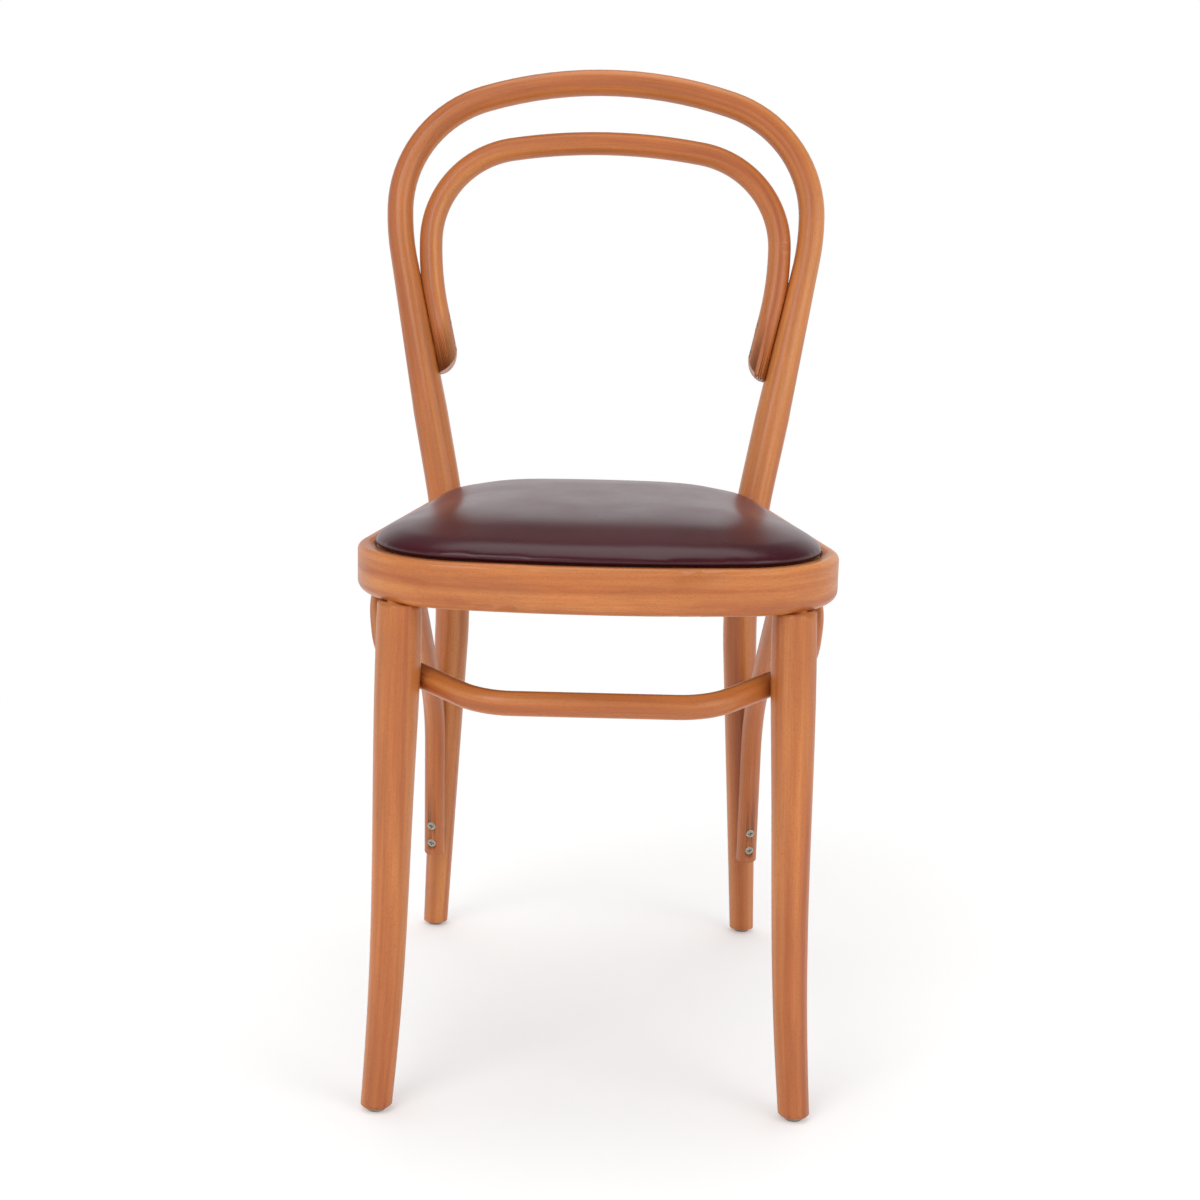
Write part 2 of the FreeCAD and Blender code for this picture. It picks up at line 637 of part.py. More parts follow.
def front_leg_centre(height):
    """Centre of the right front leg at a height."""
    drop = (RING_BOTTOM - height) / RING_BOTTOM
    sweep = max(0.0, (size("leg_flare_height") - height) / size("leg_flare_height")) ** 2
    x = LEG_TOP.x + size("leg_lean_out") * drop + size("leg_flare_out") * sweep
    y = LEG_TOP.y - size("leg_lean_forward") * drop - size("leg_flare_forward") * sweep
    return Vector(x, y, height)


def front_leg(name, side):
    body = doc.addObject("PartDesign::Body", name + "_body")
    flare = size("leg_flare_height")
    sections = [
        (RING_BOTTOM, "sizes.leg_dia / 2"),
        (size("leg_taper_height"), "sizes.leg_dia / 2"),
        (flare, "sizes.leg_flare_dia / 2"),
        (flare * 2 / 3, "(sizes.leg_flare_dia * 2 + sizes.front_foot_dia) / 6"),
        (flare / 3, "(sizes.leg_flare_dia + sizes.front_foot_dia * 2) / 6"),
        (GLIDE, "sizes.front_foot_dia / 2"),
    ]
    sketches = []
    for index, (height, rule) in enumerate(sections):
        centre = flipped(front_leg_centre(height), side)
        sketches.append(circle_sketch(body, "%s_section%d" % (name, index), height, centre, rule))
    doc.recompute()
    loft = body.newObject("PartDesign::AdditiveLoft", name + "_loft")
    loft.Profile = sketches[0]
    loft.Sections = sketches[1:]
    doc.recompute()
    bevel = body.newObject("PartDesign::Chamfer", name + "_bevel")
    bevel.Base = (loft, edges_at(loft.Shape, GLIDE))
    bevel.setExpression("Size", "sizes.foot_bevel")
    doc.recompute()
    tenon = body.newObject("PartDesign::Pad", name + "_tenon")
    tenon_sketch = name + "_tenon_circle"
    tenon_centre = flipped(LEG_TOP, side)
    tenon.Profile = circle_sketch(body, tenon_sketch, RING_BOTTOM, tenon_centre, "sizes.tenon_dia / 2")
    tenon.setExpression("Length", "sizes.tenon_length")
    doc.recompute()
    return body


leg_blanks = {name: front_leg("front_leg_" + name, side) for name, side in SIDES}

# Leg brace: one rod from rear leg to rear leg, under the ring and behind the front legs
BRACE_R = size("brace_dia") / 2
BRACE_HUG = BRACE_R - size("brace_bedding")
PASS_TURN = math.radians(size("brace_turn"))
PASS_WAY = Vector(math.cos(PASS_TURN), math.sin(PASS_TURN), math.tan(math.radians(size("brace_climb"))))
PASS_SIDE = Vector(-math.sin(PASS_TURN), math.cos(PASS_TURN), 0)


def brace_pass():
    """Where the brace's centreline passes behind the right front leg, and its run from the front bar."""
    level = front_leg_centre(size("brace_front_height")) + PASS_SIDE * (size("leg_dia") / 2 + BRACE_HUG)
    back = (level.y - FRONT - size("brace_front_setback")) / PASS_WAY.y
    return level + UP * (PASS_WAY.z * back), back


def ring_edge_x(y, inset):
    """Half width of the ring at a place front to back, measured to a line inside its outside."""
    line = outline_parts(inset)[2]
    start, end = line.StartPoint, line.EndPoint
    if y >= start.y:
        return start.x + (end.x - start.x) * (y - start.y) / (end.y - start.y)
    drop = FRONT_CORNER_Y - y
    return FRONT_CORNER_X + math.sqrt((size("ring_front_corner") - inset) ** 2 - drop ** 2)


def beside_rear_leg(height, turn):
    axis = leg_axis(height)
    share = (height - FOOT.z) / (KNEE_ARC[0].z - FOOT.z)
    leg_r = size("rear_foot_dia") / 2 + (SEAT_R - size("rear_foot_dia") / 2) * min(1.0, share)
    angle = math.radians(turn)
    return axis + Vector(math.sin(angle), -math.cos(angle), 0) * (leg_r + BRACE_HUG)


def brace_points():
    """Corners of the brace's path on the right side, from the middle of the front bar."""
    passing, back = brace_pass()
    bar_end = passing - PASS_WAY * back
    bar_middle = Vector(0, bar_end.y, bar_end.z)
    crown_z = RING_BOTTOM - BRACE_HUG
    climb = passing + PASS_WAY * size("brace_pass_run")
    crown_y = climb.y + size("brace_climb_run")
    crown_front = Vector(ring_edge_x(crown_y, size("brace_inset")), crown_y, crown_z)
    rear_y = FRONT + size("brace_back_setback")
    knee = beside_rear_leg(size("brace_knee_height"), size("brace_knee_turn"))
    crown_back = Vector(ring_edge_x(rear_y, size("brace_inset")), rear_y, crown_z)
    low = beside_rear_leg(size("brace_end_height"), size("brace_end_turn"))
    return [bar_middle, bar_end, climb, crown_front, crown_back, knee, low]


def leg_brace_blank():
    points = brace_points()
    bends = [size("brace_front_bend"), size("brace_climb_bend"), size("brace_crown_bend"),
             size("brace_back_bend"), size("brace_tail_bend")]
    half = rounded_rod(points, bends, [BRACE_R] * len(points))
    return joined(half + [mirrored(piece) for piece in half])


brace_blank = feature("brace_blank", leg_brace_blank())

# Hoop bolts through the rear legs and the ring
bolt_axis = leg_axis(BOLT_HEIGHT)
BOLT_POINT = Vector(bolt_axis.x, bolt_axis.y, BOLT_HEIGHT)
RING_FACE = SEAT_R - size("notch_depth")
BOLT_REACH = SEAT_R + RING_FACE + size("ring_thickness") + size("bolt_tail")


def bolt_shapes():
    head = Part.makeCylinder(size("bolt_head_dia") / 2, size("bolt_head_height"))
    dome_r = size("bolt_head_dia") / 2
    dome_h = size("bolt_head_height")
    ball_r = (dome_r ** 2 + dome_h ** 2) / (2 * dome_h)
    ball = Part.makeSphere(ball_r, Vector(0, 0, ball_r))
    head = head.common(ball)
    shank = Part.makeCylinder(size("bolt_dia") / 2, BOLT_REACH, Vector(0, 0, dome_h))
    return head.fuse(shank).removeSplitter()


BOLT_START = BOLT_POINT + BOLT_WAY * (SEAT_R + size("bolt_head_height"))
bolt = bolt_shapes()
bolt_item = feature("hoop_bolts", both_sides([aimed(bolt, BOLT_START, BOLT_WAY * -1)]))
node("hoop_bolts", bolt_item)
spot = Part.makeCylinder(size("bolt_head_dia") / 2, OVERRUN, Vector(0, 0, size("bolt_head_height") - OVERRUN))
bolt_holes = feature("bolt_holes", both_sides([aimed(bolt.fuse(spot), BOLT_START, BOLT_WAY * -1)]))
INNER_FACE = BOLT_POINT - BOLT_WAY * (RING_FACE + size("ring_thickness"))
bolt_core = Part.makeCylinder(size("bolt_dia") / 2, OVERRUN)
washer = Part.makeCylinder(size("washer_dia") / 2, size("washer_thickness")).cut(bolt_core)
nut_r = size("nut_flats") / math.sqrt(3)
nut_turns = [math.radians(60 * corner_index) for corner_index in range(7)]
nut_points = [Vector(nut_r * math.cos(turn), nut_r * math.sin(turn), 0) for turn in nut_turns]
nut = Part.Face(Part.makePolygon(nut_points)).extrude(UP * size("nut_height")).cut(bolt_core)
washer_item = feature("bolt_washers", both_sides([aimed(washer, INNER_FACE, BOLT_WAY * -1)]))
node("bolt_washers", washer_item)
NUT_FACE = INNER_FACE - BOLT_WAY * size("washer_thickness")
nut_item = feature("bolt_nuts", both_sides([aimed(nut, NUT_FACE, BOLT_WAY * -1)]))
node("bolt_nuts", nut_item)
pad_r = size("washer_dia") / 2 + HAIR
washer_seat = Part.makeCylinder(pad_r, OVERRUN)
seat_item = feature("washer_seats", both_sides([aimed(washer_seat, INNER_FACE, BOLT_WAY * -1)]))


# Screws that hold the brace to the legs and the ring, and the loop to the hoop

def brace_rear_drives():
    knee, low = brace_points()[-2:]
    along = unit(knee - low)
    drives = []
    for rise in (size("rear_screw_low"), size("rear_screw_low") + size("rear_screw_pitch")):
        point = low + along * ((rise - low.z) / along.z)
        inward = leg_axis(rise) - point
        way = unit(inward - along * inward.dot(along))
        drives.append((point - way * BRACE_R, way))
    return drives


def brace_front_drives():
    way = PASS_SIDE * -1
    return [(brace_pass()[0] - way * BRACE_R, way)]


def brace_ring_drives():
    front, back = brace_points()[3:5]
    middle = (front + back) * 0.5
    return [(Vector(middle.x, middle.y, middle.z - BRACE_R), UP)]


def loop_drives():
    drives = []
    inward = on_back(FACE_INWARD.x, FACE_INWARD.y) - on_back(0, 0)
    for lift in (size("loop_screw_rise"), size("loop_screw_rise") + size("loop_screw_pitch")):
        centre = flank_point(size("loop_end_rise") + lift)
        drives.append((on_back(centre.x, centre.y) + inward * LOOP_R, inward * -1))
    return drives


def seat_drives():
    inset = (size("rim_width") + size("ring_thickness")) / 2
    front_bow = size("ring_front_bow") - inset
    rear_bow = size("ring_rear_bow") - inset
    front_x, rear_x = size("seat_screw_front") / 2, size("seat_screw_rear") / 2
    front_y = FRONT + size("ring_front_bow") - math.sqrt(front_bow ** 2 - front_x ** 2)
    rear_y = REAR_BOW_Y + math.sqrt(rear_bow ** 2 - rear_x ** 2)
    return [(Vector(front_x, front_y, RING_BOTTOM), UP), (Vector(rear_x, rear_y, RING_BOTTOM), UP)]


rear_holes = fasten("brace_rear_screws", brace_rear_drives(), brace_screw_blank, brace_screw)
front_holes = fasten("brace_front_screws", brace_front_drives(), brace_screw_blank, brace_screw)
ring_holes = fasten("brace_ring_screws", brace_ring_drives(), brace_screw_blank, brace_screw)
loop_holes = fasten("loop_screws", loop_drives(), loop_screw_blank, loop_screw)
seat_holes = fasten("seat_screws", seat_drives(), seat_screw_blank, seat_screw)


# Glides and their nails
def glide_points():
    rear = leg_axis(GLIDE)
    return [front_leg_centre(GLIDE), Vector(rear.x, rear.y, GLIDE)]


nail_head = primitive("Cylinder", "nail_head", Radius="sizes.nail_dia", Height="sizes.nail_dia / 3")
nail_shank = primitive("Cylinder", "nail_shank", Radius="sizes.nail_dia / 2",
                       Height="sizes.nail_length - sizes.nail_dia")
doc.recompute()
nail_tip = primitive("Cone", "nail_tip", nail_shank.Height.Value, Radius1="sizes.nail_dia / 2",
                     Radius2="sizes.nail_dia / 20", Height="sizes.nail_dia")
nail = fused("nail", [nail_head, nail_shank, nail_tip])
glide_base = primitive("Cylinder", "glide_base", size("glide_bevel"), Radius="sizes.glide_dia / 2",
                       Height="sizes.glide_height - sizes.glide_bevel")
glide_edge = primitive("Cone", "glide_edge", Radius1="sizes.glide_dia / 2 - sizes.glide_bevel",
                       Radius2="sizes.glide_dia / 2", Height="sizes.glide_bevel")
glide_blank = fused("glide_blank", [glide_base, glide_edge])
NAIL_SINK = GLIDE - size("glide_bevel") / 2
driven_nails = both_sides([aimed(nail.Shape, point - UP * NAIL_SINK, UP) for point in glide_points()])
nails = feature("glide_nails", driven_nails)
node("glide_nails", nails)
glides = both_sides([aimed(glide_blank.Shape, point - UP * GLIDE, UP) for point in glide_points()])
glides_blank = feature("glides_blank", glides)
cut_by("foot_glides", glides_blank, [nails])

# Wooden pieces with their seats and holes
cut_by("back_hoop", hoop_blank, [ring_blank, bolt_holes, loop_holes, rear_holes, nails])
cut_by("back_loop", loop_blank, [loop_holes])
cut_by("leg_brace", brace_blank, [hoop_blank, ring_blank, leg_blanks["left"], leg_blanks["right"],
                                  rear_holes, front_holes, ring_holes])
cut_by("seat_ring", ring_blank, [leg_blanks["left"], leg_blanks["right"], bolt_holes, seat_item,
                                 ring_holes, seat_holes])
for leg_name in leg_blanks:
    cut_by("front_leg_" + leg_name, leg_blanks[leg_name], [front_holes, nails])


# Seat pad: plywood board, foam, cover turned in under the board, dust cover and staples
PAD_INSET = size("rim_width") + size("pad_clearance")
FORWARD = size("pad_forward")
HEM_LOW = LEDGE + HAIR
BOARD_LOW = HEM_LOW + size("cover_thickness") + HAIR
BOARD_TOP = BOARD_LOW + size("board_thickness")


def slab(inset, low, high):
    face = Part.Face(outline_wire(inset, low, FORWARD))
    return face.extrude(UP * (high - low))


def pad_form(shrink, low):
    """The upholstered pad as a closed form; shrink moves every face above low inwards."""
    base = RING_TOP + HAIR + shrink
    crown = RING_TOP + size("cushion_crown") - shrink
    shoulder = crown - size("cushion_fall")
    inset = PAD_INSET - size("cushion_swell") + shrink
    around = outline_wire(inset, shoulder, FORWARD)
    within = outline_wire(inset + size("cushion_slope"), crown, FORWARD)
    block = slab(inset, base, shoulder).fuse(Part.makeLoft([around, within], True, True)).removeSplitter()
    tuck = size("cushion_tuck") - shrink
    block = block.makeFillet(tuck, [edge for edge in block.Edges if is_level(edge, base)])
    upper = [edge for edge in block.Edges if is_level(edge, shoulder)]
    block = block.makeFillet(size("cushion_roll") - shrink, upper)
    return block.fuse(slab(PAD_INSET + shrink, low, base + tuck)).removeSplitter()


def seat_cover_blank():
    skin = size("cover_thickness")
    opening = slab(PAD_INSET + size("hem_width"), HEM_LOW - OVERRUN, HEM_LOW + skin + HAIR)
    return pad_form(0.0, HEM_LOW).cut(pad_form(skin, HEM_LOW + skin)).cut(opening)


def seat_foam_shape():
    return pad_form(size("cover_thickness") + size("pad_clearance"), BOARD_TOP)


def seat_board_blank():
    body = doc.addObject("PartDesign::Body", "board_body")
    pad = body.newObject("PartDesign::Pad", "board_pad")
    inset = PAD_INSET + size("cover_thickness") + size("pad_clearance")
    pad.Profile = outline_sketch(body, "board_outline", BOARD_LOW, inset, FORWARD)
    pad.setExpression("Length", "sizes.board_thickness")
    doc.recompute()
    return body


def staple_places():
    """Evenly spaced places and headings along the staple row."""
    wire = outline_wire(size("staple_inset"), 0, FORWARD)
    count = int(size("staple_count"))
    points = wire.discretize(Number=count * 8 + 1)
    places = []
    for index in range(count):
        k = index * 8 + 4
        places.append((points[k], unit(points[k + 1] - points[k - 1])))
    return places


def staple_shape():
    wire, span, leg = size("staple_wire"), size("staple_span"), size("staple_leg")
    bar = Part.makeBox(span, wire, wire, Vector(-span / 2, -wire / 2, 0))
    prongs = [Part.makeBox(wire, wire, leg, Vector(x, -wire / 2, 0)) for x in (-span / 2, span / 2 - wire)]
    return bar.fuse(prongs).removeSplitter()


DUST_LOW = HEM_LOW - size("dust_thickness") - HAIR
one_staple = staple_shape()
staples = []
for place, heading in staple_places():
    turn = math.degrees(math.atan2(heading.y, heading.x))
    staple = one_staple.copy()
    staple.Placement = Placement(Vector(place.x, place.y, DUST_LOW - size("staple_wire")), Rotation(UP, turn))
    staples.append(staple)
staple_item = feature("cover_staples", Part.makeCompound(staples))
node("cover_staples", staple_item)
board_blank = seat_board_blank()
cut_by("seat_board", board_blank, [staple_item, seat_holes])
cover_blank = feature("cover_blank", seat_cover_blank())
cut_by("seat_cover", cover_blank, [staple_item, seat_holes])
node("seat_foam", feature("seat_foam", seat_foam_shape()))
dust_blank = feature("dust_blank", slab(size("dust_inset"), DUST_LOW, DUST_LOW + size("dust_thickness")))
cut_by("dust_cover", dust_blank, [staple_item])

# Every object is checked before anything is written
doc.recompute()
for item in doc.Objects:
    if "Invalid" in item.State or "Error" in item.State:
        raise ValueError("%s failed: %s" % (item.Name, item.State))
for item in NODES:
    if item.Shape.isNull() or not item.Shape.isValid() or not item.Shape.Solids:
        raise ValueError(item.Label + " is not a valid solid")

os.makedirs("parts", exist_ok=True)
for item in NODES:
    item.Shape.exportStep("parts/%s.step" % item.Label)
    box = item.Shape.BoundBox
    print("%-20s solids %2d  volume %9.0f  x %7.1f %7.1f  y %7.1f %7.1f  z %6.1f %6.1f" % (
        item.Label, len(item.Shape.Solids), item.Shape.Volume, box.XMin, box.XMax, box.YMin, box.YMax,
        box.ZMin, box.ZMax))
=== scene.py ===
import math

import bpy
import numpy as np
from bpy.props import FloatProperty, FloatVectorProperty, PointerProperty, StringProperty
from mathutils import Matrix, Vector


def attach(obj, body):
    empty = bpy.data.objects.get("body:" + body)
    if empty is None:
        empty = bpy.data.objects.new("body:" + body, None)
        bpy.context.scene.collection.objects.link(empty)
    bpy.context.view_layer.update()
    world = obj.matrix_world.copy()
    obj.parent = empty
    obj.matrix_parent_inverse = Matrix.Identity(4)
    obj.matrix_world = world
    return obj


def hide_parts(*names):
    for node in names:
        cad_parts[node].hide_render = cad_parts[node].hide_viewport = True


bl_info = {
    "name": "Bentwood bistro chair",
    "version": (1, 0, 0),
    "blender": (4, 5, 0),
    "location": "View3D > Sidebar > Chair",
    "description": "Dresses the packed bentwood chair and sets up its studio",
    "category": "Object",
}

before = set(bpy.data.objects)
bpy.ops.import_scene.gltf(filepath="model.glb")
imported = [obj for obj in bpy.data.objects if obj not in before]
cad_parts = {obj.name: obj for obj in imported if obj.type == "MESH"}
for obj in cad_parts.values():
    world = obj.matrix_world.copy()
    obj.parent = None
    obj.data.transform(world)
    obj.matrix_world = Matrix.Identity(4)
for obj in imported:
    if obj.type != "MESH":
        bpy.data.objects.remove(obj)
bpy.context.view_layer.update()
MM = 0.001

# Seat pad, in metres: the ring's top, the cut foam's rise above it, and the stuffed pad's rise
# at its crown and towards its edge
RING_TOP = 0.462
PAD_RISE = 0.036
CROWN_RISE = 0.0275
EDGE_RISE = 0.0105

# Frames of cloth simulation that fill the pad
FILLING_FRAMES = 20

# Centrelines of the bent rods on the sitter's left hand side, in millimetres:
# corners of the path, each with the radius that rounds it. The other side mirrors them.
HOOP_LINE = [
    (159.0, 215.5, 0.0, 0),
    (135.8, 122.5, 401.0, 300),
    (199.0, 201.8, 705.7, 240),
    (199.0, 228.8, 809.6, 114.5),
    (0.0, 245.0, 871.6, 390),
]
LOOP_LINE = [
    (147.0, 167.8, 575.2, 0),
    (168.4, 191.6, 666.6, 300),
    (168.4, 219.6, 774.0, 92),
    (0.0, 226.9, 802.2, 540),
]
BRACE_LINE = [
    (157.5, 172.5, 92.0, 0),
    (155.1, 135.7, 250.0, 150),
    (166.2, -30.0, 414.5, 100),
    (182.4, -126.6, 414.5, 45),
    (173.2, -159.6, 364.1, 52),
    (90.3, -242.5, 350.7, 60),
]
LEG_LINE = [
    (157.1, -206.9, 462.0, 0),
    (160.3, -212.1, 320.0, 300),
    (163.5, -217.3, 180.0, 300),
    (166.9, -222.5, 90.0, 300),
    (172.6, -230.8, 4.0, 0),
]


# Studio lamps: name, place, width and share of the key lamp's power
LAMPS = (
    ("key", (-1.2, -2.2, 2.6), 1.8, 1.0),
    ("fill", (1.8, -1.6, 1.6), 1.6, 0.4),
    ("top", (0.0, 0.6, 3.0), 2.2, 0.6),
)
LAMPS_AIM = Vector((0.0, 0.0, 0.45))
WHITE = (1.0, 1.0, 1.0, 1.0)


# Sizes and colours that a user would change

def hex_colour(value):
    """An sRGB hex value as linear red, green, blue and alpha."""
    channels = [int(value[i:i + 2], 16) / 255 for i in (1, 3, 5)]
    linear = [c / 12.92 if c <= 0.04045 else ((c + 0.055) / 1.055) ** 2.4 for c in channels]
    return (*linear, 1.0)


class BeechSettings(bpy.types.PropertyGroup):
    pale: StringProperty(name="Pale wood", description="sRGB hex of the pale early wood",
                         default="#cf8444")
    middle: StringProperty(name="Middle wood", description="sRGB hex between the pale and the deep wood",
                           default="#bf7036")
    deep: StringProperty(name="Deep wood", description="sRGB hex of the darker late wood",
                         default="#a95826")
    fleck: StringProperty(name="Flecks", description="sRGB hex of the small dark flecks",
                          default="#7d3d17")
    roughness: FloatProperty(name="Lacquer roughness", description="Roughness of the lacquer coat",
                             default=0.24, min=0.02, max=1.0)
    grain_width: FloatProperty(name="Grain width",
                               description="Width of a light or dark band of the growth rings",
                               default=0.006, min=0.001, unit="LENGTH")


class CushionSettings(bpy.types.PropertyGroup):
    colour: StringProperty(name="Leatherette", description="sRGB hex of the burgundy leatherette",
                           default="#440f1c")
    shade: StringProperty(name="Mottle", description="sRGB hex of the leatherette's darker patches",
                          default="#3a0c17")
    bloom: StringProperty(name="Bloom", description="sRGB hex of the pale sheen seen at a flat angle",
                          default="#c87f9a")
    swell: FloatProperty(name="Swell", description="The most that the filled pad swells from its cut form",
                         default=0.003, min=0.0, unit="LENGTH")
    cell: FloatProperty(name="Cell", description="Size of a face of the pad's skin before it is divided",
                        default=0.005, min=0.002, unit="LENGTH")
    grain: FloatProperty(name="Leather grain", description="Width of a pebble of the embossed grain",
                         default=0.0011, min=0.0002, unit="LENGTH")


class StudioSettings(bpy.types.PropertyGroup):
    floor: StringProperty(name="Floor", description="sRGB hex of the studio floor", default="#ffffff")
    camera: FloatVectorProperty(name="Camera", description="Where the camera stands", subtype="TRANSLATION",
                                default=(-0.00375, -1.82751, 0.74823))
    aim: FloatVectorProperty(name="Camera aim", description="The camera's pitch down, roll and yaw",
                             subtype="EULER", default=(0.19471, 0.02513, 0.00355))
    lens: FloatProperty(name="Lens", description="Focal length in millimetres", default=62.02, min=10.0)
    key_power: FloatProperty(name="Key light", description="Power of the large front lamp",
                             default=30.0, min=0.0)


def settings():
    """The settings of the wood, of the cushion and of the studio."""
    return bpy.context.scene.chair_beech, bpy.context.scene.chair_cushion, bpy.context.scene.chair_studio


# Node materials

def add_node(tree, kind, inputs=None, links=None, **options):
    """Adds one shader node, sets its options and inputs, and links other sockets into it."""
    node = tree.nodes.new(kind)
    for name, value in options.items():
        setattr(node, name, value)
    for name, value in (inputs or {}).items():
        node.inputs[name].default_value = value
    for name, socket in (links or {}).items():
        tree.links.new(socket, node.inputs[name])
    return node


def new_material(name):
    """An empty node material with one shader, which its maker function then fills."""
    material = bpy.data.materials.new(name)
    material.use_nodes = True
    tree = material.node_tree
    tree.nodes.clear()
    shader = add_node(tree, "ShaderNodeBsdfPrincipled")
    add_node(tree, "ShaderNodeOutputMaterial", links={"Surface": shader.outputs["BSDF"]})
    return material, tree, shader


def colour_steps(ramp, steps):
    """Sets a colour ramp's stops from position and colour pairs."""
    stops = ramp.color_ramp.elements
    while len(stops) > len(steps):
        stops.remove(stops[-1])
    while len(stops) < len(steps):
        stops.new(1.0)
    for stop, (position, colour) in zip(stops, steps):
        stop.position = position
        stop.color = colour


def lacquered_beech():
    """Steamed beech, stained orange brown under a satin clear lacquer: soft rings, short dark flecks."""
    beech, _, _ = settings()
    material, tree, shader = new_material("lacquered_beech")
    along = add_node(tree, "ShaderNodeAttribute", attribute_name="grain")
    vector = along.outputs["Vector"]

    # Growth rings: soft bands that are drawn out to about half a metre along the rod
    ring_scale = 1.0 / beech.grain_width
    rings_at = add_node(tree, "ShaderNodeMapping", {"Scale": (ring_scale * 0.022, ring_scale, ring_scale)},
                        {"Vector": vector})
    rings = add_node(tree, "ShaderNodeTexNoise",
                     {"Scale": 0.55, "Detail": 3.0, "Roughness": 0.5, "Distortion": 0.35},
                     {"Vector": rings_at.outputs["Vector"]})
    # Fibres, drawn 0.4 mm wide, which is coarser than real ones, so that they show
    fibre_at = add_node(tree, "ShaderNodeMapping", {"Scale": (35.0, 2200.0, 2200.0)}, {"Vector": vector})
    fibres = add_node(tree, "ShaderNodeTexNoise", {"Scale": 1.0, "Detail": 2.0, "Roughness": 0.6},
                      {"Vector": fibre_at.outputs["Vector"]})
    # Ray flecks, one in each cell of 4 by 0.7 mm, and about a third as large as it
    fleck_at = add_node(tree, "ShaderNodeMapping", {"Scale": (260.0, 1500.0, 1500.0)}, {"Vector": vector})
    flecks = add_node(tree, "ShaderNodeTexVoronoi", {"Scale": 1.0, "Randomness": 1.0},
                      {"Vector": fleck_at.outputs["Vector"]})
    fleck_mask = add_node(tree, "ShaderNodeMapRange",
                          {"From Min": 0.16, "From Max": 0.30, "To Min": 1.0, "To Max": 0.0},
                          {"Value": flecks.outputs["Distance"]})
    # Patches 110 mm long and 17 mm wide, where the stain took a little more or less
    patch_at = add_node(tree, "ShaderNodeMapping", {"Scale": (9.0, 60.0, 60.0)}, {"Vector": vector})
    patches = add_node(tree, "ShaderNodeTexNoise", {"Scale": 1.0, "Detail": 2.0, "Roughness": 0.5},
                       {"Vector": patch_at.outputs["Vector"]})

    base = add_node(tree, "ShaderNodeValToRGB", links={"Fac": rings.outputs["Fac"]})
    colour_steps(base, [(0.32, hex_colour(beech.deep)), (0.52, hex_colour(beech.middle)),
                        (0.70, hex_colour(beech.pale))])
    streaks = add_node(tree, "ShaderNodeMapRange",
                       {"From Min": 0.25, "From Max": 0.75, "To Min": 0.86, "To Max": 1.08},
                       {"Value": fibres.outputs["Fac"]})
    warm = add_node(tree, "ShaderNodeMapRange",
                    {"From Min": 0.3, "From Max": 0.7, "To Min": 0.9, "To Max": 1.06},
                    {"Value": patches.outputs["Fac"]})
    shade = add_node(tree, "ShaderNodeMath", operation="MULTIPLY",
                     links={0: streaks.outputs["Result"], 1: warm.outputs["Result"]})
    shaded = add_node(tree, "ShaderNodeVectorMath", operation="SCALE",
                      links={"Vector": base.outputs["Color"], "Scale": shade.outputs["Value"]})
    fleck_share = add_node(tree, "ShaderNodeMath", {1: 0.42}, {0: fleck_mask.outputs["Result"]},
                           operation="MULTIPLY")
    flecked = add_node(tree, "ShaderNodeMix", {"B": hex_colour(beech.fleck)},
                       {"Factor": fleck_share.outputs["Value"], "A": shaded.outputs["Vector"]},
                       data_type="RGBA")
    tree.links.new(flecked.outputs["Result"], shader.inputs["Base Color"])

    bump = add_node(tree, "ShaderNodeBump", {"Strength": 0.06, "Distance": 0.0002},
                    {"Height": fibres.outputs["Fac"]})
    tree.links.new(bump.outputs["Normal"], shader.inputs["Normal"])
    rough = add_node(tree, "ShaderNodeMapRange",
                     {"From Min": 0.3, "From Max": 0.7, "To Min": 0.42, "To Max": 0.55},
                     {"Value": patches.outputs["Fac"]})
    tree.links.new(rough.outputs["Result"], shader.inputs["Roughness"])
    shader.inputs["Coat Weight"].default_value = 0.4
    shader.inputs["Coat Roughness"].default_value = beech.roughness
    shader.inputs["Coat IOR"].default_value = 1.5
    shader.inputs["IOR"].default_value = 1.4
    return material


def burgundy_leatherette():
    """PVC leatherette, calendered and embossed with a fine pebble: dark burgundy, pale at a flat angle."""
    _, cushion, _ = settings()
    material, tree, shader = new_material("burgundy_leatherette")
    place = add_node(tree, "ShaderNodeTexCoord")
    # The pebble is drawn a little coarser than the real one, so that it shows
    pebble = add_node(tree, "ShaderNodeTexVoronoi", {"Scale": 1.0 / cushion.grain, "Randomness": 1.0},
                      {"Vector": place.outputs["Object"]}, feature="SMOOTH_F1")
    # Soft patches 45 mm wide
    mottle = add_node(tree, "ShaderNodeTexNoise", {"Scale": 22.0, "Detail": 4.0, "Roughness": 0.55},
                      {"Vector": place.outputs["Object"]})
    tone = add_node(tree, "ShaderNodeValToRGB", links={"Fac": mottle.outputs["Fac"]})
    colour_steps(tone, [(0.3, hex_colour(cushion.shade)), (0.7, hex_colour(cushion.colour))])
    tree.links.new(tone.outputs["Color"], shader.inputs["Base Color"])
    rough = add_node(tree, "ShaderNodeMapRange",
                     {"From Min": 0.3, "From Max": 0.7, "To Min": 0.27, "To Max": 0.33},
                     {"Value": mottle.outputs["Fac"]})
    tree.links.new(rough.outputs["Result"], shader.inputs["Roughness"])
    bump = add_node(tree, "ShaderNodeBump", {"Strength": 0.10, "Distance": 0.0002},
                    {"Height": pebble.outputs["Distance"]})
    tree.links.new(bump.outputs["Normal"], shader.inputs["Normal"])
    shader.inputs["IOR"].default_value = 1.45
    shader.inputs["Sheen Weight"].default_value = 0.2
    shader.inputs["Sheen Roughness"].default_value = 0.18
    shader.inputs["Sheen Tint"].default_value = hex_colour(cushion.bloom)
    return material


